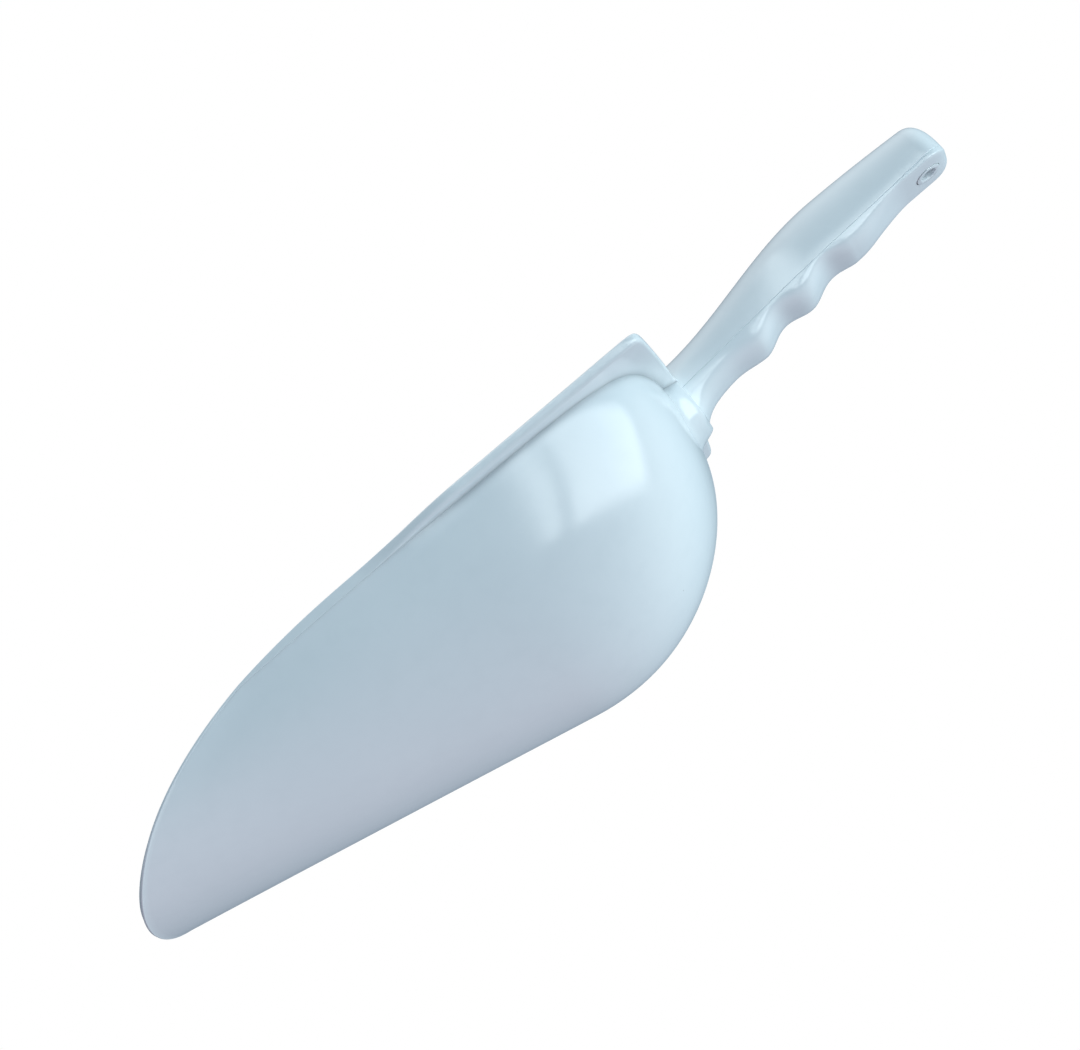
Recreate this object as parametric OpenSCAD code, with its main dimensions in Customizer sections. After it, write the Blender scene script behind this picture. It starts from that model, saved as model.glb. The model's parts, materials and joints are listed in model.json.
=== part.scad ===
// Ice scoop: a deep moulded bowl with a flat outward lip, and a hollow two-shell handle
// with a finger grip. The shape is laid out with the lip level and the back wall of the
// bowl at x = 0, then tipped as one so that the straight floor line rests on the ground.

/* [Bowl] */
// Length from the nose to the back wall
bowl_length = 238.5; // [180:1:320]
// Width outside the walls, under the lip
bowl_width = 131; // [90:1:180]
// Depth under the lip at the deepest point
bowl_depth = 63.5; // [45:1:90]
// Wall thickness
bowl_wall = 2.4; // [1.6:0.1:4]
// Length of the rounded back, from the deepest point to the back wall
dome_length = 67.8; // [50:1:90]
// Angle between the lip and the straight floor line
floor_angle = 13.3; // [8:0.1:14]
// Length over which the side walls drop to the nose
mouth_length = 120; // [80:1:150]
// How late the mouth drops: 2 is a plain parabola
mouth_power = 2.1; // [1.6:0.05:3]
// How much the nose is narrower than the back, as a share of the width
nose_narrowing = 0.135; // [0:0.005:0.25]
// How far the cross section is drawn in between floor and sides: 0 is an ellipse
section_slack = 0.055; // [0:0.005:0.1]
// How far the back is drawn in between floor and back wall: 0 is an ellipse
back_slack = 0.015; // [0:0.002:0.06]
// Squareness of the back corners in plan
corner_power = 2.8; // [2:0.1:6]

/* [Lip] */
// How far the lip stands out along the sides
lip_width = 6.2; // [3:0.1:8]
// How far the lip stands out across the back
lip_back = 5; // [3:0.1:8]
// How far the ends of the back edge curve towards the nose
back_bow = 2.5; // [0:0.1:5]
// Thickness of the lip
lip_thick = 3.4; // [2:0.1:5]
// Distance from the back wall over which the lip keeps its full width
lip_full_length = 70; // [40:1:110]
// Distance over which the lip then fades into the wall
lip_fade_length = 42; // [20:1:60]
// Width of the bead left along the mouth edge
mouth_bead = 0.5; // [0.2:0.05:1]
// Height of the bead along the mouth edge
mouth_edge = 0.8; // [0.4:0.05:1.2]
// Squareness of the back corners of the lip in plan
lip_corner_power = 30; // [8:1:40]

/* [Handle] */
// Length from the back wall of the bowl to the end of the handle
handle_length = 120.4; // [100:1:160]
// Width at the bowl
root_width = 24; // [20:0.5:28]
// Width at the middle of the grip
grip_width = 27; // [22:0.5:32]
// Width at the end
end_width = 23; // [20:0.5:28]
// Height of the top above the lip, at the bowl
root_top = 7.1; // [4:0.2:12]
// Height of the top above the lip, at its crown
crown_top = 18.7; // [14:0.2:24]
// Distance from the back wall to the crown
crown_at = 76.4; // [60:1:90]
// How far the top comes down again at the end
end_drop = 1.8; // [0:0.1:4]
// Wall thickness of both shells
shell_wall = 2.2; // [1.6:0.1:2.6]
// Length over which the end is rounded off
end_round = 8; // [5:0.5:12]
// How much narrower the grip shell is on each side at the seam
seam_step = 0.5; // [0.2:0.1:1]

/* [Grip] */
// Depth of the seam below the lip, at the bowl
seam_root_depth = 5.2; // [4:0.1:8]
// Angle by which the seam rises towards the end
seam_angle = 3.8; // [0:0.1:5]
// Distance from the back wall to the first finger lobe
first_lobe_at = 33.6; // [30:0.5:40]
// Distance between finger lobes
lobe_pitch = 21.9; // [18:0.5:24]
// Depth of the hollows between the lobes
lobe_hollow = 3.4; // [1:0.1:3.6]
// Depth of the faint hollow before the first lobe
first_hollow = 1.2; // [0:0.1:1.5]
// Depth of the grip below the lip at the first lobe
lobe_depth = 10.4; // [9.5:0.1:14]
// Rise of the grip from each lobe to the next
lobe_rise = 2.7; // [1.5:0.1:3]
// Height of the flat underside above the lip, at the end
end_underside = 0.3; // [-1:0.1:0.6]
// Radius that blends the underside of the grip into the bowl
root_fillet = 16.5; // [10:0.5:20]

/* [Root pad and tang] */
// Width of the pad on the back wall that carries the handle
pad_width = 33; // [28:0.5:40]
// Depth of the pad below the lip
pad_depth = 18.5; // [18:0.5:24]
// Length of the tang behind the back wall
tang_length = 38; // [30:1:39]
// Width of the tang
tang_width = 14; // [10:0.5:16]
// Height of the tang above the seam
tang_above = 4.4; // [3:0.1:5]
// Height of the tang below the seam
tang_below = 1.9; // [1:0.1:2.2]

/* [Hang hole] */
// Diameter of the hang hole
hang_bore = 5.6; // [4:0.1:7]
// Wall of the tube around the hang hole
hang_tube_wall = 1.9; // [1.5:0.1:2.4]
// Distance from the end of the handle to the middle of the hang hole
hang_from_end = 8.8; // [8.5:0.1:14]
// Gap around the tube where it passes through the grip shell
hang_clearance = 0.15; // [0.1:0.05:0.3]
// How far the tube stands proud of the grip shell
hang_proud = 0.3; // [0:0.1:0.6]

/* [Hidden] */
plastic = "whitesmoke";

// Mesh steps: along the trough, along the rounded back, and across
trough_steps = 16;
dome_steps = 14;
across_steps = 36;
// Points in the lip's section between the outer and the inner wall
lip_points = 6;
// Mesh steps of a handle shell, along it and across it
shell_steps = 40;
shell_across = 22;
// Squareness of the palm section, the finger section, its flat end and the rounded end
palm_power = 2.2;
finger_power = 2.6;
finger_end_power = 8;
end_power = 2.7;
// Where the underside of the grip starts to turn flat
flat_from = 86;
// Least height left inside a shell
min_hollow = 0.4;
// How closely the stations bunch up towards the rounded end, and how far the end closes
station_power = 1.35;
end_closes = 0.99;
// Rounding of the lip's lower and upper edge
lip_low_round = 1.9;
lip_top_round = 0.9;

half_width = bowl_width / 2;
floor_slope = tan(floor_angle);
dome_x = -dome_length;
dome_start = -atan(floor_slope * dome_length / bowl_depth);
mouth_x = mouth_length - bowl_length;
nose_z = -lip_thick - trough_depth(-bowl_length, 0);
bisections = 40;
degrees_in_radian = 180 / PI;

root_x = lip_back;
last_lobe_at = first_lobe_at + 2 * lobe_pitch;
last_lobe_z = 2 * lobe_rise - lobe_depth;
tail_length = 25.4;
hang_x = handle_length - hang_from_end;
hang_r = hang_bore / 2;
hang_tube_r = hang_r + hang_tube_wall;
tang_gap = 0.3;
pad_power = 2.4;
pad_flare = 2;
pad_steps = 24;
pad_embed = 1;
back_steps = 12;

// Height that puts the floor line on the ground
rest_z = (lip_thick + floor_depth(0)) * cos(floor_angle) - join_x(0) * sin(floor_angle);
// Shift that puts the middle of the length over the origin
nose_reach = (bowl_length + mouth_bead) * cos(floor_angle) + nose_z * sin(floor_angle);
handle_reach = handle_length * cos(floor_angle) - seam_z(handle_length) * sin(floor_angle);
rest_x = (nose_reach - handle_reach) / 2;

// ---------- shared maths ----------
function clamp01(v) = min(max(v, 0), 1);
function ease(t) = (1 - cos(180 * clamp01(t))) / 2;
function mix(a, b, t) = a + (b - a) * t;
function signed_pow(v, k) = sign(v) * pow(abs(v), k);
function unit(v) = v / norm(v);
function slack(angle, amount) = 1 - amount * pow(sin(2 * angle), 2);

// ---------- bowl surface; wall is 0 outside and the wall thickness inside ----------
function wide(phi) = sin(phi) * slack(phi, section_slack);
function deep(phi) = cos(phi) * slack(phi, section_slack);
function join_x(wall) = dome_x + (dome_length - wall) * sin(dome_start);
function floor_depth(wall) = (bowl_depth - wall) * cos(dome_start);
function trough_depth(x, wall) = floor_depth(wall) - floor_slope * (join_x(wall) - x);
function nose_share(x) = clamp01((join_x(0) - x) / (join_x(0) + bowl_length));
function trough_half(x, wall) = half_width * (1 - nose_narrowing * pow(nose_share(x), 2)) - wall;
function trough_z(x, phi, wall) = -lip_thick - trough_depth(x, wall) * deep(phi);
function trough_point(x, phi, wall) = [x, trough_half(x, wall) * wide(phi), trough_z(x, phi, wall)];

function back_share(theta) = theta > 0 ? slack(theta, back_slack) : 1;
function dome_along(theta) = sin(theta) * back_share(theta);
function dome_down(theta) = cos(theta) * back_share(theta);
// Draws the corners in: along and across run from 0 to 1, and 1 with 1 is the corner
function corner(along, across, power) = 1 - pow(max(along, 0) * abs(across), power) / (2 * power + 1);
function dome_point(theta, phi, wall) =
    let (a = dome_along(theta), b = wide(phi), r = corner(a, b, corner_power))
    [
        dome_x + (dome_length - wall) * a * r,
        (half_width - wall) * b * r,
        -lip_thick - (bowl_depth - wall) * dome_down(theta) * deep(phi)
    ];

// Height of the mouth edge, and where it crosses the line of a given angle
function mouth_z(x) = nose_z * pow(clamp01((mouth_x - x) / mouth_length), mouth_power);
function mouth_at(phi, low = -bowl_length, high = mouth_x, n = bisections) =
    let (x = (low + high) / 2)
    n == 0 ? x :
    mouth_z(x) > trough_z(x, phi, 0) ? mouth_at(phi, low, x, n - 1) :
    mouth_at(phi, x, high, n - 1);

// ---------- bowl mesh ----------
rows = trough_steps + dome_steps;
function angle_at(j) = mix(-90, 90, j / across_steps);
function dome_angle(i) = mix(dome_start, 90, (i - trough_steps) / dome_steps);
function wall_point(i, j, wall) =
    let (phi = angle_at(j))
    i < trough_steps
        ? trough_point(mix(mouth_at(phi), join_x(wall), i / trough_steps), phi, wall)
        : dome_point(dome_angle(i), phi, wall);
function wall_points(wall) = [for (i = [0:rows], j = [0:across_steps]) wall_point(i, j, wall)];

// Grid positions along the open edge: one side, the back, the other side, the nose
rim = concat(
    [for (i = [0:rows]) [i, 0]],
    [for (j = [1:across_steps]) [rows, j]],
    [for (i = [1:rows]) [rows - i, across_steps]],
    [for (j = [1:across_steps - 1]) [0, across_steps - j]]
);

function lip_share(x) = 1 - ease((-lip_full_length - x) / lip_fade_length);
function lip_at(x) = mix(mouth_bead, lip_width, lip_share(x));
function lip_corner(i, j, x) =
    let (a = dome_along(dome_angle(i)), b = wide(angle_at(j)), r = corner(a, b, lip_corner_power))
    [
        dome_x + (dome_length + (a > 0 ? lip_back - back_bow * b * b : 0) * a) * a * r,
        (half_width + lip_at(x)) * b * r,
        -lip_thick
    ];
function lip_outer(i, j, outer) =
    i == 0 ? outer + mouth_bead * [-cos(angle_at(j)), sin(angle_at(j)), 0] :
    i < trough_steps ? outer + [0, sign(outer.y) * lip_at(outer.x), 0] :
    lip_corner(i, j, outer.x);

function mouth_up(x) =
    let (step = 0.01)
    unit([mouth_z(x - step) - mouth_z(x + step), 0, 2 * step]);
function lip_height(i, x) =
    i == 0 ? mouth_edge : mix(mouth_edge, lip_thick, clamp01((mouth_z(x) + lip_thick) / lip_thick));

// Section of the lip from the outer wall, round its edge, to the inner wall
function lip_section(i, j) =
    let (
        outer = wall_point(i, j, 0),
        inner = wall_point(i, j, bowl_wall),
        edge = lip_outer(i, j, outer),
        out = unit(edge - outer),
        reach = norm(edge - outer),
        low_round = min(lip_low_round, 0.4 * reach),
        top_round = min(lip_top_round, 0.3 * reach),
        tall = lip_height(i, outer.x),
        up = mouth_up(outer.x)
    )
    [
        edge - out * low_round,
        edge + up * tall * 0.38,
        edge + up * (tall - min(top_round, tall * 0.3)),
        edge - out * top_round + up * tall,
        mix(inner, outer, 0.25) + up * tall,
        inner + up * tall * 0.75
    ];

// Two triangles for a four-sided patch, or their mirror image
function patch(a, b, c, d, flip) = flip ? [[a, c, b], [a, d, c]] : [[a, b, c], [a, c, d]];
function flatten(lists) = [for (list = lists, item = list) item];
function grid_faces(first, n_rows, n_across, flip) = flatten([
    for (i = [0:n_rows - 1], j = [0:n_across - 1])
        let (a = first + i * (n_across + 1) + j, b = a + n_across + 1)
        patch(a, b, b + 1, a + 1, flip)
]);

module bowl_shell() {
    grid_size = (rows + 1) * (across_steps + 1);
    n_rim = len(rim);
    sections = [
        for (k = [0:n_rim - 1])
            let (at = rim[k][0] * (across_steps + 1) + rim[k][1], first = 2 * grid_size + k * lip_points)
            concat([at], [for (m = [0:lip_points - 1]) first + m], [grid_size + at])
    ];
    points = concat(
        wall_points(0),
        wall_points(bowl_wall),
        flatten([for (place = rim) lip_section(place[0], place[1])])
    );
    lip_faces = flatten([
        for (k = [0:n_rim - 1], m = [0:lip_points])
            let (here = sections[k], next = sections[(k + 1) % n_rim])
            patch(here[m], here[m + 1], next[m + 1], next[m], false)
    ]);
    polyhedron(points, concat(
        grid_faces(0, rows, across_steps, false),
        grid_faces(grid_size, rows, across_steps, true),
        lip_faces
    ));
}

// ---------- pad and tang on the back wall ----------
function turn(step, radius) = step / radius * degrees_in_radian;
// Where the back wall stands at a given y and z, by stepping towards it
function back_x(y, z, theta = 90, phi = 0, n = back_steps) =
    let (p = dome_point(theta, phi, 0))
    n == 0 ? p.x :
    back_x(y, z, theta + turn(z - p.z, bowl_depth), phi + turn(y - p.y, half_width), n - 1);

// Outline of the pad, grown by the given amount, with its flat top inside the lip
function pad_outline(grow, share = 1) =
    [for (k = [0:pad_steps])
        let (
            a = 180 * k / pad_steps,
            half = (pad_width / 2 + grow) * share,
            deep = (pad_depth - lip_thick + grow + pad_embed) * share
        )
        [-half * signed_pow(cos(a), 2 / pad_power), pad_embed - lip_thick - deep * pow(sin(a), 2 / pad_power)]];

function pad_ring(share, grow, inside) =
    [for (p = pad_outline(grow, inside))
        [mix(back_x(p.x, p.y) - bowl_wall / 2, root_x, share), p.x, p.y]];

module root_pad() {
    rings = [
        pad_ring(0, pad_flare, 0.3),
        pad_ring(0, pad_flare, 0.65),
        pad_ring(0, pad_flare, 1),
        pad_ring(0.3, pad_flare * 0.55, 1),
        pad_ring(0.55, pad_flare * 0.15, 1),
        pad_ring(0.8, -0.4, 1),
        pad_ring(1, -1.8, 1)
    ];
    n = pad_steps + 1;
    last = len(rings) - 1;
    sides = flatten([
        for (i = [0:last - 1], k = [0:n - 1])
            let (a = i * n + k, b = i * n + (k + 1) % n)
            patch(a, a + n, b + n, b, false)
    ]);
    front = [[for (k = [0:n - 1]) k]];
    back = [[for (k = [0:n - 1]) last * n + n - 1 - k]];
    polyhedron(flatten(rings), concat(sides, front, back));
}

module tang() {
    x_in = -bowl_wall / 2;
    x_out = tang_length;
    outline = [
        [x_in, seam_z(x_in) - tang_below],
        [x_out, seam_z(x_out) - tang_below],
        [x_out, seam_z(x_out) + tang_above],
        [x_in, seam_z(x_in) + tang_above]
    ];
    rotate([90, 0, 0]) linear_extrude(tang_width, center = true) polygon(outline);
}

// ---------- handle lines ----------
function seam_z(x) = x * tan(seam_angle) - seam_root_depth;
function handle_half(x) =
    let (middle = (first_lobe_at + last_lobe_at) / 2)
    (x < middle
        ? mix(root_width, grip_width, ease(x / middle))
        : mix(grip_width, end_width, ease((x - middle) / (handle_length - end_round - middle)))) / 2;
function top_z(x) =
    mix(root_top, crown_top, ease(x / crown_at))
    - end_drop * pow(max(x - crown_at, 0) / (handle_length - crown_at), 2);
function root_drop(x) =
    x < root_fillet ? root_fillet - sqrt(pow(root_fillet, 2) - pow(root_fillet - x, 2)) : 0;
function hollow(x, depth) = depth * (1 - cos(360 * (x - first_lobe_at) / lobe_pitch)) / 2;
function bottom_z(x) =
    x < first_lobe_at - lobe_pitch ? -lobe_depth - root_drop(x) :
    x < first_lobe_at ? -lobe_depth + hollow(x, first_hollow) - root_drop(x) :
    x < last_lobe_at
        ? mix(-lobe_depth, last_lobe_z, (x - first_lobe_at) / (2 * lobe_pitch)) + hollow(x, lobe_hollow)
        : mix(last_lobe_z, end_underside, ease((x - last_lobe_at) / tail_length));

// ---------- handle shells; side is 1 for the palm shell and -1 for the grip shell ----------
function end_share(x, wall) =
    let (t = clamp01((x - handle_length + end_round) / (end_round - wall)))
    pow(1 - pow(t * end_closes, end_power), 1 / end_power);
// The finger section gets squarer towards the flat underside of the end
function finger_section(x) = mix(finger_power, finger_end_power, ease((x - flat_from) / (hang_x - flat_from)));
function shell_point(x, a, side, wall) =
    let (
        power = 2 / (side > 0 ? palm_power : finger_section(x)),
        half = handle_half(x) - (side > 0 ? 0 : seam_step) - wall,
        tall = max((side > 0 ? top_z(x) - seam_z(x) : seam_z(x) - bottom_z(x)) - wall, min_hollow),
        share = end_share(x, wall)
    )
    [x, -half * share * signed_pow(cos(a), power), seam_z(x) + side * tall * share * pow(sin(a), power)];
// Stations bunch up towards the rounded end
function shell_x(i, wall) =
    let (t = i / shell_steps, from = root_x + wall, to = handle_length - wall)
    from + (to - from) * (1 - pow(1 - t, station_power));
function shell_points(side, wall) =
    [for (i = [0:shell_steps], k = [0:shell_across])
        shell_point(shell_x(i, wall), 180 * k / shell_across, side, wall)];
function seam_middle(x) = [x, 0, seam_z(x)];

module half_shell(side) {
    n = shell_across + 1;
    size = (shell_steps + 1) * n;
    middles = 2 * size;
    points = concat(
        shell_points(side, 0),
        shell_points(side, shell_wall),
        [
            seam_middle(root_x),
            seam_middle(handle_length),
            seam_middle(root_x + shell_wall),
            seam_middle(handle_length - shell_wall)
        ]
    );
    flip = side > 0;
    last = shell_steps * n;
    caps = flatten([
        for (k = [0:shell_across - 1])
            let (root = [middles, k + 1, k], end = [middles + 1, last + k, last + k + 1])
            let (inner_root = [middles + 2, size + k, size + k + 1])
            let (inner_end = [middles + 3, size + last + k + 1, size + last + k])
            [for (f = [root, end, inner_root, inner_end]) flip ? f : [f[2], f[1], f[0]]]
    ]);
    edge = concat(
        [middles],
        [for (i = [0:shell_steps]) i * n],
        [middles + 1],
        [for (i = [0:shell_steps]) (shell_steps - i) * n + shell_across]
    );
    inner_edge = concat(
        [middles + 2],
        [for (i = [0:shell_steps]) size + i * n],
        [middles + 3],
        [for (i = [0:shell_steps]) size + (shell_steps - i) * n + shell_across]
    );
    n_edge = len(edge);
    seam = flatten([
        for (k = [0:n_edge - 1])
            let (m = (k + 1) % n_edge)
            patch(edge[k], inner_edge[k], inner_edge[m], edge[m], flip)
    ]);
    polyhedron(points, concat(
        grid_faces(0, shell_steps, shell_across, flip),
        grid_faces(size, shell_steps, shell_across, !flip),
        caps,
        seam
    ));
}

// Slot through the front walls of the shells for the tang
module tang_slot() {
    x_in = root_x - 1;
    x_out = root_x + shell_wall + 1;
    outline = [
        [x_in, seam_z(x_in) - tang_below - tang_gap],
        [x_out, seam_z(x_out) - tang_below - tang_gap],
        [x_out, seam_z(x_out) + tang_above + tang_gap],
        [x_in, seam_z(x_in) + tang_above + tang_gap]
    ];
    rotate([90, 0, 0]) linear_extrude(tang_width + 2 * tang_gap, center = true) polygon(outline);
}

module hang_cylinder(radius, from, to) {
    translate([hang_x, 0, from]) cylinder(h = to - from, r = radius, $fn = 48);
}

// Tips the whole scoop so that its floor line lies on the ground
module tipped() {
    translate([rest_x, 0, rest_z]) rotate([0, -floor_angle, 0]) children();
}

module bowl() {
    color(plastic) tipped() union() {
        bowl_shell();
        root_pad();
        tang();
    }
}

module handle_top_shell() {
    tube_from = end_underside - hang_proud;
    color(plastic) tipped() difference() {
        union() {
            half_shell(1);
            hang_cylinder(hang_tube_r, tube_from, top_z(hang_x) - 0.8 * shell_wall);
        }
        hang_cylinder(hang_r, tube_from - 1, crown_top + 1);
        tang_slot();
    }
}

module handle_grip_shell() {
    color(plastic) tipped() difference() {
        half_shell(-1);
        hang_cylinder(hang_tube_r + hang_clearance, end_underside - 2, crown_top);
        tang_slot();
    }
}

bowl();
handle_top_shell();
handle_grip_shell();
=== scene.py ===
import json
import math

import bpy
import numpy as np
from mathutils import Matrix, Vector


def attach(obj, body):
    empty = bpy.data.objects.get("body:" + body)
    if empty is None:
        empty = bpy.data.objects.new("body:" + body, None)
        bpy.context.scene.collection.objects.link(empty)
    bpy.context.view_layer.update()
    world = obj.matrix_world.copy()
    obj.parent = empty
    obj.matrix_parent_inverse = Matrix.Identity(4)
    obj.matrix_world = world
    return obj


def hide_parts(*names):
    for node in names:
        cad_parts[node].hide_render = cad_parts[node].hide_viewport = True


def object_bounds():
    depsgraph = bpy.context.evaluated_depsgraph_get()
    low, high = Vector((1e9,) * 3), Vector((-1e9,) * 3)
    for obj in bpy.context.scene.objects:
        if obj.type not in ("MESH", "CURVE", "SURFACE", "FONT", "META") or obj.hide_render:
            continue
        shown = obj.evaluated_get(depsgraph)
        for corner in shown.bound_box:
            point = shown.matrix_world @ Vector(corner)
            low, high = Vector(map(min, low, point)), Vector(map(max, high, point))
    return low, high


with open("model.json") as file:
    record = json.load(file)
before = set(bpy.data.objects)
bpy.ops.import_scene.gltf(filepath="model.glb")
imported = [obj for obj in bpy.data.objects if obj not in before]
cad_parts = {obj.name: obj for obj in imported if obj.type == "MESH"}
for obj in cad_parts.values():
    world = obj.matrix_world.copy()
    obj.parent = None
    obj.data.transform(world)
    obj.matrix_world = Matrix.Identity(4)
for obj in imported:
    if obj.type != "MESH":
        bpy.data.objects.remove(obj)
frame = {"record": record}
cad_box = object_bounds()
MM = 0.001

# ---------- the scoop's own level frame, found from the hang hole in the record ----------
hole = next(m for m in frame["record"]["mounts"] if m["name"] == "hang_hole")
UP = np.array(hole["axis"], float)
UP /= np.linalg.norm(UP)
TILT = math.atan2(-UP[0], UP[2])
ALONG = np.array([math.cos(TILT), 0.0, math.sin(TILT)])
HANG_X, HANG_Z = 111.6, 8.6
ORIGIN = np.array(hole["pos_m"], float) - (ALONG * HANG_X + UP * HANG_Z) * MM


def to_row(points):
    """Level-frame millimetres to row-frame metres."""
    p = np.asarray(points, float)
    return ORIGIN + (p[..., :1] * ALONG + p[..., 1:2] * np.array([0, 1.0, 0]) + p[..., 2:3] * UP) * MM


# ---------- sizes in millimetres, as in the CAD ----------
LENGTH, HALF_WIDTH, DEPTH, WALL = 238.5, 65.5, 63.5, 2.4
DOME = 67.8
SLOPE = math.tan(TILT)
MOUTH, MOUTH_POWER, NOSE_NARROWING = 120.0, 2.1, 0.135
SECTION_SLACK, BACK_SLACK, CORNER = 0.055, 0.015, 2.8
LIP_WIDTH, LIP_BACK, BACK_BOW, LIP_THICK = 6.2, 5.0, 2.5, 3.4
LIP_FULL, LIP_FADE, LIP_CORNER = 70.0, 42.0, 30.0
LIP_LOW_ROUND, LIP_TOP_ROUND = 1.9, 0.9
MOUTH_BEAD, MOUTH_EDGE = 0.5, 0.8
PAD_WIDTH, PAD_DEPTH, PAD_POWER = 33.0, 18.5, 2.4
HANDLE, SHELL_WALL, END_ROUND = 120.4, 2.2, 8.0
ROOT_WIDTH, GRIP_WIDTH, END_WIDTH = 24.0, 27.0, 23.0
ROOT_TOP, CROWN_TOP, CROWN_AT, END_DROP = 7.1, 18.7, 76.4, 1.8
PALM_POWER, FINGER_POWER, FINGER_END_POWER, FLAT_FROM = 2.2, 2.6, 8.0, 86.0
MIN_HOLLOW, END_POWER = 0.4, 2.7
SEAM_DEPTH, SEAM_SLOPE = 5.2, math.tan(math.radians(3.8))
FIRST_LOBE, LOBE_PITCH, LOBE_HOLLOW, FIRST_HOLLOW = 33.6, 21.9, 3.4, 1.2
LOBE_DEPTH, LOBE_RISE, END_UNDERSIDE = 10.4, 2.7, 0.3
ROOT_FILLET, TAIL = 16.5, 25.4
BORE, TUBE, CLEARANCE_HOLE = 2.8, 4.7, 4.85

# ---------- sizes in millimetres that only the looks have ----------
# The walls turn outward under the mouth edge, by this much and over this height
FLARE_OUT, FLARE_TALL = 1.1, 6.5
# Distances from the back wall where the flare starts and where it fades, and over which lengths
FLARE_FROM, FLARE_GROWS, FLARE_FADE_FROM, FLARE_FADES = 66, 40, 170, 60
# The pad's edge is blended over this width, and its bottom leans in by LEAN over LEAN_TALL
PAD_GROW, PAD_BLEND, PAD_REACH = 0.6, 2.1, 16.0
LEAN, LEAN_FROM, LEAN_TALL = 3.0, 15.3, 3.3
# A finer seam than in the CAD, with a rounded edge
SEAM_STEP, SEAM_ROUND = 0.3, 0.15
# Mesh steps of a handle shell, how they bunch up towards its end, and how far the end closes
SHELL_STEPS, SHELL_ACROSS, STATION_POWER, END_CLOSES = 220, 72, 1.9, 0.999
# The face of the pad stays this far inside the lip's back edge
PAD_BEHIND = 0.02

DOME_START = -math.atan(SLOPE * DOME / DEPTH)


def ease(t):
    return (1 - np.cos(np.pi * np.clip(t, 0, 1))) / 2


def mix(a, b, t):
    return a + (b - a) * t


def slack(angle, amount):
    return 1 - amount * np.sin(2 * angle) ** 2


def spow(v, k):
    return np.sign(v) * np.abs(v) ** k


def wide(phi):
    return np.sin(phi) * slack(phi, SECTION_SLACK)


def deep(phi):
    return np.cos(phi) * slack(phi, SECTION_SLACK)


def join_x(wall):
    return -DOME + (DOME - wall) * math.sin(DOME_START)


def floor_depth(wall):
    return (DEPTH - wall) * math.cos(DOME_START)


def trough_point(x, phi, wall):
    down = floor_depth(wall) - SLOPE * (join_x(wall) - x)
    share = np.clip((join_x(0) - x) / (join_x(0) + LENGTH), 0, 1)
    half = HALF_WIDTH * (1 - NOSE_NARROWING * share**2) - wall
    return np.stack([x + 0 * phi, half * wide(phi), -LIP_THICK - down * deep(phi)], -1)


def corner(a, b, power):
    return 1 - (np.maximum(a, 0) * np.abs(b)) ** power / (2 * power + 1)


def dome_point(theta, phi, wall):
    k = np.where(theta > 0, slack(theta, BACK_SLACK), 1)
    a, b = np.sin(theta) * k, wide(phi)
    r = corner(a, b, CORNER)
    return np.stack([
        -DOME + (DOME - wall) * a * r,
        (HALF_WIDTH - wall) * b * r,
        -LIP_THICK - (DEPTH - wall) * np.cos(theta) * k * deep(phi),
    ], -1)


NOSE_Z = -LIP_THICK - (floor_depth(0) - SLOPE * (join_x(0) + LENGTH))
MOUTH_X = MOUTH - LENGTH


def mouth_z(x):
    return NOSE_Z * np.clip((MOUTH_X - x) / MOUTH, 0, 1) ** MOUTH_POWER


def mouth_at(phi):
    low, high = np.full(phi.shape, -LENGTH), np.full(phi.shape, MOUTH_X)
    for _ in range(44):
        x = (low + high) / 2
        above = mouth_z(x) > trough_point(x, phi, 0)[..., 2]
        high, low = np.where(above, x, high), np.where(above, low, x)
    return (low + high) / 2


# ---------- mesh helpers ----------
def grid(first, rows, cols, flip=False):
    i, j = np.meshgrid(np.arange(rows - 1), np.arange(cols - 1), indexing="ij")
    a = (first + i * cols + j).ravel()
    quad = np.stack([a, a + cols, a + cols + 1, a + 1], -1)
    return quad[:, ::-1] if flip else quad


def inside(points):
    """Keeps the finer surfaces within the CAD box."""
    return np.clip(points, np.array(cad_box[0]), np.array(cad_box[1]))


def build(name, points, faces, sharp=None):
    me = bpy.data.meshes.new(name)
    me.from_pydata([tuple(p) for p in points], [], [tuple(int(i) for i in f) for f in faces])
    me.validate()
    me.update()
    me.shade_smooth()
    if sharp:
        me.set_sharp_from_angle(angle=math.radians(sharp))
    ob = bpy.data.objects.new(name, me)
    bpy.context.scene.collection.objects.link(ob)
    return ob


# ---------- bowl ----------
TROUGH_STEPS = 70


def spread(parts):
    """Joined runs of evenly spaced values: (from, to, steps)."""
    out = [parts[0][0]]
    for a, b, n in parts:
        out += list(np.linspace(a, b, n + 1)[1:])
    return np.array(out)


deg = math.pi / 180
phis = spread([(-90, -84, 5), (-84, -20, 44), (-20, 20, 120), (20, 84, 44), (84, 90, 5)]) * deg
thetas = spread([(DOME_START / deg, 60, 44), (60, 90, 92)]) * deg
N_COLS = len(phis)
trough_t = np.linspace(0, 1, TROUGH_STEPS + 1)[:-1]
N_ROWS = len(trough_t) + len(thetas)


def pad_share(y, z):
    """How far a point of the back wall is raised to the pad's face: 0 outside, 1 on the pad."""
    dx = np.abs(y) / (PAD_WIDTH / 2 + PAD_GROW)
    dz = np.maximum(-LIP_THICK - z, 0) / (PAD_DEPTH - LIP_THICK + PAD_GROW)
    rho = (dx**PAD_POWER + dz**PAD_POWER) ** (1 / PAD_POWER)
    depth_in = (1 - rho) * PAD_REACH
    t = np.clip((depth_in + PAD_BLEND) / (2 * PAD_BLEND), 0, 1)
    return t**3 * (t * (6 * t - 15) + 10)


def wall_grid(wall):
    m = mouth_at(phis)
    x = mix(m[None, :], join_x(wall), trough_t[:, None])
    top = trough_point(x, phis[None, :] + 0 * x, wall)
    th, ph = np.meshgrid(thetas, phis, indexing="ij")
    return np.concatenate([top, dome_point(th, ph, wall)], 0)


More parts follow.
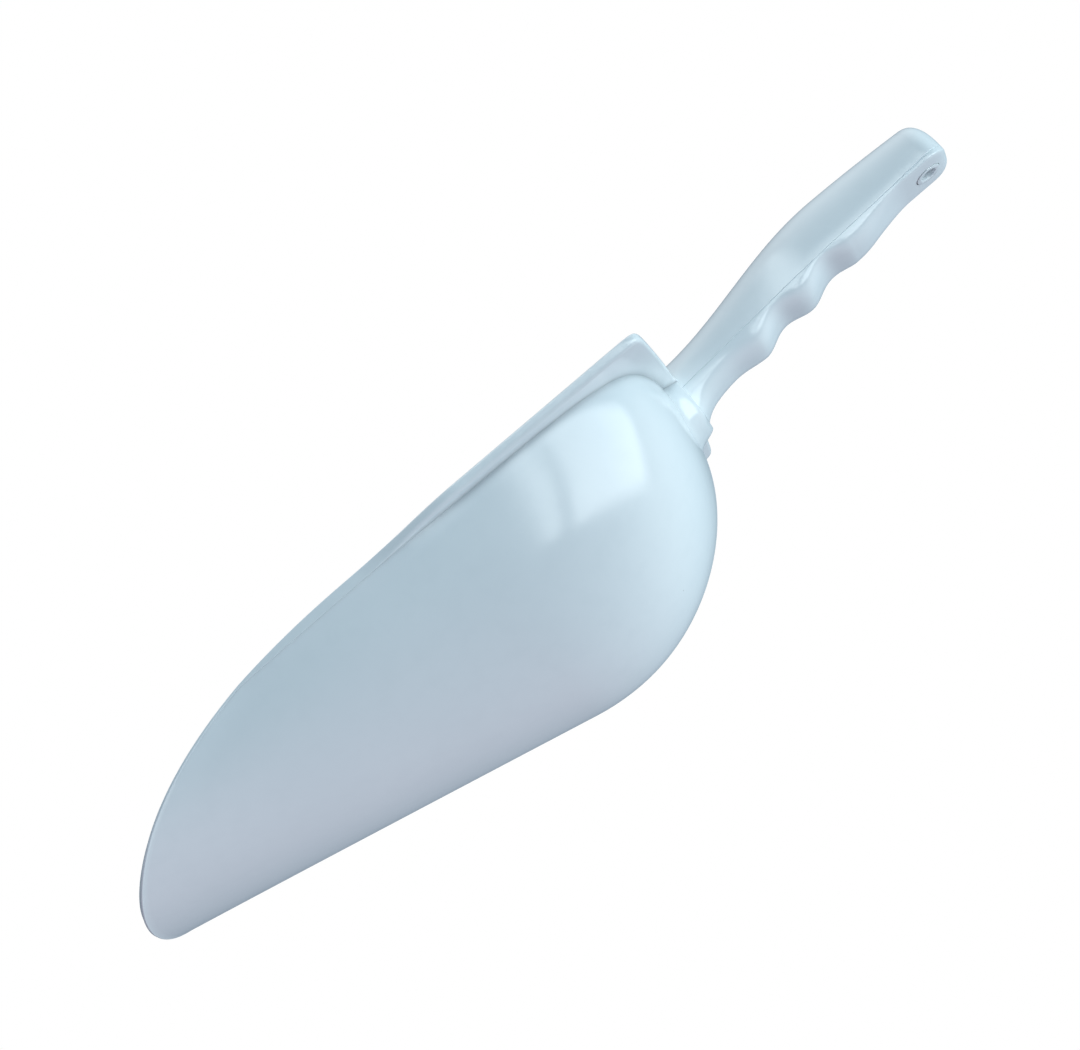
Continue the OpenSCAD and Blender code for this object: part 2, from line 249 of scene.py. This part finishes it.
outer, inner = wall_grid(0), wall_grid(WALL)


def flare(points, phi):
    """Turns the walls gently outward just below the mouth edge."""
    x, z = points[..., 0], points[..., 2]
    below = np.minimum(np.where(x < MOUTH_X, mouth_z(x), 0), -LIP_THICK) - z
    grown = ease((-FLARE_FROM - x) / FLARE_GROWS)
    along = grown * mix(1, 0, ease((-FLARE_FADE_FROM - x) / FLARE_FADES))
    push = FLARE_OUT * along * np.clip(1 - np.maximum(below, 0) / FLARE_TALL, 0, 1) ** 2
    points[..., 0] -= push * np.cos(phi)
    points[..., 1] += push * np.sin(phi)


plain = outer.copy()
flare(outer, phis[None, :])
flare(inner, phis[None, :])
on_back = np.arange(N_ROWS)[:, None] >= len(trough_t) + 20
raise_by = pad_share(outer[..., 1], outer[..., 2]) * on_back
outer_raised = outer.copy()
lean = LEAN * np.clip((-LEAN_FROM - outer[..., 2]) / LEAN_TALL, 0, 1) ** 1.5
outer_raised[..., 0] += raise_by * np.maximum(LIP_BACK - PAD_BEHIND - lean - outer[..., 0], 0)

ring = [(i, 0) for i in range(N_ROWS)] + [(N_ROWS - 1, j) for j in range(1, N_COLS)]
ring += [(N_ROWS - 1 - i, N_COLS - 1) for i in range(1, N_ROWS)]
ring += [(0, N_COLS - 1 - j) for j in range(1, N_COLS - 1)]
ring = np.array(ring)
ri, rj = ring[:, 0], ring[:, 1]
base, inn = outer[ri, rj], inner[ri, rj]
x = base[:, 0]
lip_at = mix(MOUTH_BEAD, LIP_WIDTH, 1 - ease((-LIP_FULL - x) / LIP_FADE))
th = np.where(ri >= len(trough_t), thetas[np.clip(ri - len(trough_t), 0, None)], 0)
ph = phis[rj]
k = np.where(th > 0, slack(th, BACK_SLACK), 1)
a, b = np.sin(th) * k, wide(ph)
r = corner(a, b, LIP_CORNER)
edge_dome = np.stack([
    -DOME + (DOME + np.where(a > 0, LIP_BACK - BACK_BOW * b * b, 0) * a) * a * r,
    (HALF_WIDTH + lip_at) * b * r,
    np.full(len(ri), -LIP_THICK),
], -1)
edge_dome += base - plain[ri, rj]
edge_nose = base + MOUTH_BEAD * np.stack([-np.cos(ph), np.sin(ph), 0 * ph], -1)
edge_side = base + np.stack([0 * x, np.sign(base[:, 1]) * lip_at, 0 * x], -1)
edge = np.where((ri < len(trough_t))[:, None], edge_side, edge_dome)
edge = np.where((ri == 0)[:, None], edge_nose, edge)
step = 0.01
slope = (mouth_z(x - step) - mouth_z(x + step)) / (2 * step)
up = np.stack([slope, 0 * x, 1 + 0 * x], -1)
up /= np.linalg.norm(up, axis=1)[:, None]
lip_left = np.clip((mouth_z(x) + LIP_THICK) / LIP_THICK, 0, 1)
tall = np.where(ri == 0, MOUTH_EDGE, mix(MOUTH_EDGE, LIP_THICK, lip_left))
out = edge - base
reach = np.linalg.norm(out, axis=1)
out /= reach[:, None]
low_r = np.minimum(LIP_LOW_ROUND, 0.45 * reach)
top_r = np.minimum(LIP_TOP_ROUND, 0.3 * reach)
share = pad_share(base[:, 1], base[:, 2]) * (ri == N_ROWS - 1)
# Where the pad is, the lower edge stays sharp and closes onto the raised wall
low_r = low_r * (1 - share) + PAD_BEHIND * share


def col(v):
    return np.asarray(v)[:, None]


def arc(steps, first):
    """Sine and cosine along a quarter turn."""
    turns = np.linspace(0, 1, steps)[first:] * math.pi / 2
    return [(math.sin(turn), math.cos(turn)) for turn in turns]


# The lip's section, from the outer wall along its underside, round its edge and to the inner wall
sections = []
start = outer_raised[ri, rj]
under = np.where(col(share) > 0.5, start, edge - out * col(low_r))
for t in (0.25, 0.5, 0.75, 1.0):
    sections.append(mix(start, under, t))
up_r = np.minimum(LIP_LOW_ROUND, tall * 0.45)
for sine, cosine in arc(9, 1):
    sections.append(edge - out * col(low_r * (1 - sine)) + up * col(up_r * (1 - cosine)))
t_r = np.minimum(top_r, tall * 0.3)
for sine, cosine in arc(7, 0):
    sections.append(edge - out * col(top_r * (1 - cosine)) + up * col(tall - t_r * (1 - sine)))
for q in (0.6, 0.75):
    sections.append(mix(base, inn, q) + up * col(tall))
for sine, cosine in arc(5, 1):
    inward = inn + (base - inn) * 0.25 * (1 - sine)
    sections.append(inward + up * col(tall - tall * 0.25 * (1 - cosine)))

n_sec = len(sections)
section_points = np.stack(sections, 1)
pts = np.concatenate([part.reshape(-1, 3) for part in (outer_raised, inner, section_points)])
n_grid = N_ROWS * N_COLS
n_ring = len(ring)
faces = [grid(0, N_ROWS, N_COLS), grid(n_grid, N_ROWS, N_COLS, True)]
at = ri * N_COLS + rj
sec_idx = 2 * n_grid + np.arange(n_ring)[:, None] * n_sec + np.arange(n_sec)[None, :]
loops = np.concatenate([at[:, None], sec_idx, (n_grid + at)[:, None]], 1)
nxt = np.roll(loops, -1, axis=0)
lip_quads = np.stack([loops[:, :-1], loops[:, 1:], nxt[:, 1:], nxt[:, :-1]], -1).reshape(-1, 4)
faces.append(lip_quads)
bowl = build("scoop_bowl", inside(to_row(pts)), np.concatenate(faces), sharp=50)

# ---------- handle lines ----------
LAST_LOBE = FIRST_LOBE + 2 * LOBE_PITCH
LAST_LOBE_Z = 2 * LOBE_RISE - LOBE_DEPTH


def seam_z(x):
    return x * SEAM_SLOPE - SEAM_DEPTH


def handle_half(x):
    mid = (FIRST_LOBE + LAST_LOBE) / 2
    root_side = mix(ROOT_WIDTH, GRIP_WIDTH, ease(x / mid))
    end_side = mix(GRIP_WIDTH, END_WIDTH, ease((x - mid) / (HANDLE - END_ROUND - mid)))
    return np.where(x < mid, root_side, end_side) / 2


def top_z(x):
    past_crown = np.maximum(x - CROWN_AT, 0) / (HANDLE - CROWN_AT)
    return mix(ROOT_TOP, CROWN_TOP, ease(x / CROWN_AT)) - END_DROP * past_crown**2


def bottom_z(x):
    arc_height = np.sqrt(np.maximum(ROOT_FILLET**2 - (ROOT_FILLET - x) ** 2, 0))
    drop = np.where(x < ROOT_FILLET, ROOT_FILLET - arc_height, 0)

    def hollow(depth):
        return depth * (1 - np.cos(2 * math.pi * (x - FIRST_LOBE) / LOBE_PITCH)) / 2

    lobes = mix(-LOBE_DEPTH, LAST_LOBE_Z, (x - FIRST_LOBE) / (2 * LOBE_PITCH)) + hollow(LOBE_HOLLOW)
    tail = mix(LAST_LOBE_Z, END_UNDERSIDE, ease((x - LAST_LOBE) / TAIL))
    before = -LOBE_DEPTH + np.where(x > FIRST_LOBE - LOBE_PITCH, hollow(FIRST_HOLLOW), 0) - drop
    return np.where(x < FIRST_LOBE, before, np.where(x < LAST_LOBE, lobes, tail))


def end_share(x, wall):
    t = np.clip((x - HANDLE + END_ROUND) / (END_ROUND - wall), 0, 1)
    return (1 - (t * END_CLOSES) ** END_POWER) ** (1 / END_POWER)




def shell(side, wall):
    """Points of one handle shell; side is 1 for the palm and -1 for the fingers."""
    t = np.linspace(0, 1, SHELL_STEPS + 1)
    x0, x1 = LIP_BACK + wall, HANDLE - wall
    x = x0 + (x1 - x0) * (1 - (1 - t) ** STATION_POWER)
    if side > 0:
        power = 2 / (PALM_POWER + 0 * x)
        half = handle_half(x) - wall
        height = top_z(x) - seam_z(x)
    else:
        flat = ease((x - FLAT_FROM) / (HANG_X - FLAT_FROM))
        power = 2 / mix(FINGER_POWER, FINGER_END_POWER, flat)
        half = handle_half(x) - SEAM_STEP - wall
        height = seam_z(x) - bottom_z(x)
    tall = np.maximum(height - wall, MIN_HOLLOW)
    e = end_share(x, wall)
    # Angles lie close together next to the seam, where the edge is rounded
    near = np.array([0, 0.0006, 0.0018, 0.0036, 0.006, 0.009, 0.013, 0.018, 0.025, 0.035, 0.05, 0.07])
    between = np.linspace(0.095, math.pi - 0.095, SHELL_ACROSS + 1 - 2 * len(near))
    a = np.concatenate([near, between, math.pi - near[::-1]])
    y = -(half * e)[:, None] * spow(np.cos(a)[None, :], power[:, None])
    z = seam_z(x)[:, None] + side * (tall * e)[:, None] * np.sin(a)[None, :] ** power[:, None]
    if wall == 0:
        above = np.abs(z - seam_z(x)[:, None])
        r = SEAM_ROUND * np.minimum(1, (half * e) / 6)[:, None]
        pull = np.where(above < r, r - np.sqrt(np.maximum(r**2 - (r - above) ** 2, 0)), 0)
        y = np.sign(y) * np.maximum(np.abs(y) - pull, 0)
    return np.stack([x[:, None] + 0 * y, y, z], -1)


def lathe(name, profile, steps=72):
    """A closed solid turned about the hang hole's axis; profile is (radius, height) from the bottom up."""
    n = len(profile)
    ang = np.linspace(0, 2 * math.pi, steps, endpoint=False)
    pts = [(HANG_X + r * math.cos(t), r * math.sin(t), z) for t in ang for r, z in profile]
    faces = []
    for k in range(steps):
        for m in range(n - 1):
            a, b = k * n + m, ((k + 1) % steps) * n + m
            faces.append((a, b, b + 1, a + 1))
    faces.append(tuple(k * n for k in range(steps))[::-1])
    faces.append(tuple(k * n + n - 1 for k in range(steps)))
    return build(name, to_row(pts), faces)


def cut(ob, tool, operation):
    """Applies one exact boolean and removes the tool."""
    m = ob.modifiers.new("cut", "BOOLEAN")
    m.operation, m.object, m.solver = operation, tool, "EXACT"
    dg = bpy.context.evaluated_depsgraph_get()
    made = bpy.data.meshes.new_from_object(ob.evaluated_get(dg))
    ob.modifiers.clear()
    ob.data = made
    bpy.data.objects.remove(tool)
    made.shade_smooth()
    made.set_sharp_from_angle(angle=math.radians(38))


def half_shell(name, side):
    o, n = shell(side, 0), shell(side, SHELL_WALL)
    m = o.shape[1]
    pts = [o.reshape(-1, 3), n.reshape(-1, 3)]
    size = (SHELL_STEPS + 1) * m
    flip = side > 0
    f = [grid(0, SHELL_STEPS + 1, m, flip), grid(size, SHELL_STEPS + 1, m, not flip)]
    # Strips on the seam plane down both sides, and one flat face closing each end of each skin
    i = np.arange(SHELL_STEPS)
    for j, turn in ((0, False), (m - 1, True)):
        a0, b0 = i * m + j, size + i * m + j
        q = np.stack([a0, b0, b0 + m, a0 + m], -1)
        f.append(q[:, ::-1] if turn != flip else q)
    faces = [tuple(q) for part in f for q in part]
    ends = ((0, 0, False), (size, 0, True), (0, SHELL_STEPS, True), (size, SHELL_STEPS, False))
    for first, row, turn in ends:
        loop = [first + row * m + j for j in range(m)]
        faces.append(tuple(loop[::-1] if turn != flip else loop))
    return build(name, inside(to_row(np.concatenate(pts))), faces, sharp=40)


top_shell = half_shell("scoop_handle_top", 1)
grip_shell = half_shell("scoop_handle_grip", -1)
ROOF = float(top_z(HANG_X))
TUBE_SHAPE = [(TUBE - 0.2, 0.0), (TUBE - 0.05, 0.06), (TUBE, 0.2), (TUBE, ROOF - 1.2)]
BORE_SHAPE = [(BORE + 0.4, -1.0), (BORE + 0.3, 0.0), (BORE + 0.1, 0.1), (BORE, 0.35), (BORE, ROOF - 1.1)]
BORE_SHAPE += [(BORE + 0.15, ROOF - 0.6), (BORE + 0.6, ROOF - 0.1), (BORE + 1.4, ROOF + 0.6)]
GAP_SHAPE = [(CLEARANCE_HOLE + 0.15, -1.0), (CLEARANCE_HOLE + 0.13, 0.3)]
GAP_SHAPE += [(CLEARANCE_HOLE + 0.05, 0.4), (CLEARANCE_HOLE, 0.6), (CLEARANCE_HOLE, 8.0)]
cut(top_shell, lathe("tube", TUBE_SHAPE), "UNION")
cut(top_shell, lathe("bore", BORE_SHAPE), "DIFFERENCE")
cut(grip_shell, lathe("gap", GAP_SHAPE), "DIFFERENCE")

for ob, node, slot in (
    (bowl, "bowl", "bowl_plastic"),
    (top_shell, "handle_top_shell", "handle_plastic"),
    (grip_shell, "handle_grip_shell", "handle_plastic"),
):
    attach(ob, "root")
    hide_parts(node)

# ---------- material ----------
def plastic(name, seed):
    """Glossy moulded plastic: faint mottling, orange peel, hairline scratches and specks, rubbed edges, and
    painted shade darkening its crevices.
    """
    m = bpy.data.materials.new(name)
    m.use_nodes = True
    nt = m.node_tree
    bsdf = nt.nodes["Principled BSDF"]
    bsdf.inputs["IOR"].default_value = 1.5
    bsdf.inputs["Specular IOR Level"].default_value = 0.85
    tc = nt.nodes.new("ShaderNodeTexCoord")

    def node(kind, **settings):
        n = nt.nodes.new(kind)
        for k, v in settings.items():
            if k in n.inputs:
                n.inputs[k].default_value = v
            else:
                setattr(n, k, v)
        return n

    def noise(scale, detail, stretch=(1, 1, 1), offset=0.0):
        mp = node("ShaderNodeMapping", Scale=stretch, Location=(seed + offset, seed, 0))
        nt.links.new(tc.outputs["Object"], mp.inputs["Vector"])
        n = node("ShaderNodeTexNoise", Scale=scale, Detail=detail)
        nt.links.new(mp.outputs["Vector"], n.inputs["Vector"])
        return n.outputs["Fac"]

    def ramp(value, low, high, to_low, to_high):
        n = node("ShaderNodeMapRange")
        for k, v in zip(("From Min", "From Max", "To Min", "To Max"), (low, high, to_low, to_high)):
            n.inputs[k].default_value = v
        nt.links.new(value, n.inputs["Value"])
        return n.outputs["Result"]

    def tinted(factor, under, over):
        n = node("ShaderNodeMix", data_type="RGBA")
        nt.links.new(factor, n.inputs["Factor"])
        for k, v in ((6, under), (7, over)):
            if isinstance(v, tuple):
                n.inputs[k].default_value = v
            else:
                nt.links.new(v, n.inputs[k])
        return n.outputs[2]

    base = tinted(ramp(noise(14, 3), 0.3, 0.7, 0, 1), (0.765, 0.825, 0.855, 1), (0.795, 0.850, 0.878, 1))
    base = tinted(ramp(noise(160, 4, offset=3.0), 0.45, 0.75, 0, 0.35), base, (0.74, 0.80, 0.83, 1))
    geo = nt.nodes.new("ShaderNodeNewGeometry")
    rubbed = ramp(geo.outputs["Pointiness"], 0.52, 0.60, 0, 0.5)
    base = tinted(rubbed, base, (0.83, 0.875, 0.90, 1))
    specks = node("ShaderNodeTexVoronoi", Scale=95.0)
    nt.links.new(tc.outputs["Object"], specks.inputs["Vector"])
    lone = node("ShaderNodeMath", operation="MULTIPLY")
    nt.links.new(ramp(specks.outputs["Distance"], 0.028, 0.036, 1, 0), lone.inputs[0])
    chance = node("ShaderNodeSeparateColor")
    nt.links.new(specks.outputs["Color"], chance.inputs[0])
    nt.links.new(ramp(chance.outputs[0], 0.975, 0.98, 0, 0.5), lone.inputs[1])
    base = tinted(lone.outputs[0], base, (0.30, 0.30, 0.31, 1))
    # Painted shade: the base colour turns dark grey-blue where the surface is shut in within 4 mm, as in
    # the bore, along the seam and in the groove under the lip
    crevice_shade_ao = node("ShaderNodeAmbientOcclusion", Distance=0.004, samples=6, only_local=True)
    painted_crevice_shade = tinted(ramp(crevice_shade_ao.outputs["AO"], 0.25, 0.9, 0, 1), (0.34, 0.38, 0.41, 1), base)
    nt.links.new(painted_crevice_shade, bsdf.inputs["Base Color"])

    scratch = noise(60, 5, stretch=(1.2, 14, 14), offset=7.0)
    rough = ramp(noise(30, 4, offset=1.0), 0.3, 0.7, 0.12, 0.19)
    more = node("ShaderNodeMath", operation="ADD")
    nt.links.new(rough, more.inputs[0])
    nt.links.new(ramp(scratch, 0.64, 0.76, 0, 0.06), more.inputs[1])
    nt.links.new(more.outputs[0], bsdf.inputs["Roughness"])
    peel = node("ShaderNodeBump", Strength=0.05, Distance=0.0004)
    nt.links.new(noise(240, 2, offset=5.0), peel.inputs["Height"])
    line = node("ShaderNodeBump", Strength=0.02, Distance=0.0001)
    nt.links.new(scratch, line.inputs["Height"])
    nt.links.new(peel.outputs["Normal"], line.inputs["Normal"])
    nt.links.new(line.outputs["Normal"], bsdf.inputs["Normal"])
    return m


dressed = (
    (plastic("bowl_plastic", 0.0), (bowl,)),
    (plastic("handle_plastic", 4.0), (top_shell, grip_shell)),
)
for mat, obs in dressed:
    for ob in obs:
        ob.data.materials.clear()
        ob.data.materials.append(mat)

# ---------- stage ----------
bpy.ops.mesh.primitive_plane_add(size=6, location=(0, 0, 0))
floor = bpy.context.object
floor.name = "floor"
fm = bpy.data.materials.new("floor_paint")
fm.use_nodes = True
nt = fm.node_tree
fb = nt.nodes["Principled BSDF"]
fb.inputs["Base Color"].default_value = (0.9, 0.9, 0.9, 1)
fb.inputs["Roughness"].default_value = 0.6
geo = nt.nodes.new("ShaderNodeNewGeometry")
clear = nt.nodes.new("ShaderNodeBsdfTransparent")
mixer = nt.nodes.new("ShaderNodeMixShader")
nt.links.new(geo.outputs["Backfacing"], mixer.inputs[0])
nt.links.new(fb.outputs[0], mixer.inputs[1])
nt.links.new(clear.outputs[0], mixer.inputs[2])
nt.links.new(mixer.outputs[0], nt.nodes["Material Output"].inputs["Surface"])
floor.data.materials.append(fm)
floor.visible_diffuse = False
floor.visible_glossy = False
floor.visible_transmission = False
floor.visible_shadow = False

# ---------- camera ----------
ELEV, DIST = math.radians(18), 1296.0
TARGET = np.array([-58.64, 0.0, -5.37])
view_dir = np.array([0.0, math.cos(ELEV), math.sin(ELEV)])
place = to_row(TARGET - DIST * view_dir)
forward = ALONG * view_dir[0] + np.array([0, view_dir[1], 0]) + UP * view_dir[2]
right0 = ALONG
up0 = np.cross(right0, forward)
ROLL = math.atan2(0.647, 0.763)
right = right0 * math.cos(ROLL) - up0 * math.sin(ROLL)
upv = right0 * math.sin(ROLL) + up0 * math.cos(ROLL)
cam_data = bpy.data.cameras.new("camera")
cam = bpy.data.objects.new("camera", cam_data)
bpy.context.scene.collection.objects.link(cam)
cam_data.sensor_width = 36
cam_data.lens = 36 * 3988 / 1080
rot = Matrix((right, upv, -forward)).transposed()
cam.matrix_world = Matrix.Translation(Vector(place)) @ rot.to_4x4()
bpy.context.scene.camera = cam
# ---------- soft light ----------
# Each soft light: where it is in camera terms (front, right, up) and its colour
FRONT = -forward
LIGHTS = {
    "beside": (right, (1.05, 1.15, 1.15)),
    "front_above": (FRONT + right + upv, (0.75, 1.00, 1.10)),
    "warm_below": (-upv, (0.75, 0.55, 0.62)),
    "above": (upv, (0.30, 0.35, 0.35)),
    "behind": (right - FRONT, (0.35, 0.45, 0.50)),
    "ceiling": (np.array([0, 0, 1.0]), (1.30, 1.30, 1.30)),
}
AMBIENT = (0.12, 0.17, 0.22)
SHARPNESS = 5.0

world = bpy.data.worlds.new("studio")
bpy.context.scene.world = world
world.use_nodes = True
wt = world.node_tree
wt.nodes.clear()
coord = wt.nodes.new("ShaderNodeTexCoord")


def wmath(op, a, b=None):
    """One maths node of the world; ADD_V adds vectors."""
    kind = "ShaderNodeVectorMath" if op in ("DOT_PRODUCT", "ADD_V", "SCALE") else "ShaderNodeMath"
    n = wt.nodes.new(kind)
    n.operation = op.replace("_V", "")
    for k, v in enumerate((a, b)):
        if v is None:
            continue
        socket = n.inputs["Scale"] if (op == "SCALE" and k == 1) else n.inputs[k]
        if isinstance(v, bpy.types.NodeSocket):
            wt.links.new(v, socket)
        else:
            socket.default_value = v
    return n.outputs["Value"] if op == "DOT_PRODUCT" else n.outputs[0]


total = AMBIENT
for towards, rgb in LIGHTS.values():
    aim = towards / np.linalg.norm(towards)
    dot = wmath("DOT_PRODUCT", coord.outputs["Generated"], tuple(aim))
    amount = wmath("POWER", wmath("MAXIMUM", dot, 0.0), SHARPNESS)
    total = wmath("ADD_V", total, wmath("SCALE", rgb, amount))


def level(direction):
    """A level-frame direction as a row-frame one."""
    v = ALONG * direction[0] + np.array([0, 1.0, 0]) * direction[1] + UP * direction[2]
    return tuple(v / np.linalg.norm(v))


def pane(edges):
    """A window pane far away: inside each edge plane, with a soft rim."""
    mask = None
    for edge_dir, softness in edges:
        d = wmath("DOT_PRODUCT", coord.outputs["Generated"], level(edge_dir))
        step = wmath("MINIMUM", wmath("MAXIMUM", wmath("ADD", wmath("DIVIDE", d, softness), 0.5), 0.0), 1.0)
        mask = step if mask is None else wmath("MULTIPLY", mask, step)
    return mask


# Directions in the level frame that point into the window from its edges and its middle bar
BOTTOM = (0.606, -0.502, 0.496)
LEFT_SIDE = (1, 0.041, 0.036)
BAR_LEFT = (-0.855, -0.12, -0.037)
BAR_RIGHT = (0.85, 0.155, 0.079)
RIGHT_SIDE = (-0.3325, -0.4938, -0.333)
RIGHT_CORNER = (-0.315, -0.263, -0.52)
left_pane = pane([(LEFT_SIDE, 0.02), (BAR_LEFT, 0.02), (BOTTOM, 0.06)])
right_pane = pane([(BAR_RIGHT, 0.02), (BOTTOM, 0.05), (RIGHT_SIDE, 0.2), (RIGHT_CORNER, 0.2)])
WINDOW = (0.80, 0.88, 0.90)
# What is added to the window's strength in reflections: 3 makes it four times as strong as its light
MIRRORED = 3.0
path = wt.nodes.new("ShaderNodeLightPath")
panes = wmath("ADD", left_pane, right_pane)
gain = wmath("ADD", wmath("MULTIPLY", path.outputs["Is Glossy Ray"], MIRRORED), 1.0)
total = wmath("ADD_V", total, wmath("SCALE", WINDOW, wmath("MULTIPLY", panes, gain)))
soft = wt.nodes.new("ShaderNodeBackground")
wt.links.new(total, soft.inputs["Color"])
white = wt.nodes.new("ShaderNodeBackground")
white.inputs["Color"].default_value = (1, 1, 1, 1)
pick = wt.nodes.new("ShaderNodeMixShader")
wt.links.new(path.outputs["Is Camera Ray"], pick.inputs[0])
wt.links.new(soft.outputs[0], pick.inputs[1])
wt.links.new(white.outputs[0], pick.inputs[2])
wout = wt.nodes.new("ShaderNodeOutputWorld")
wt.links.new(pick.outputs[0], wout.inputs["Surface"])

bpy.context.scene.view_settings.view_transform = "Standard"
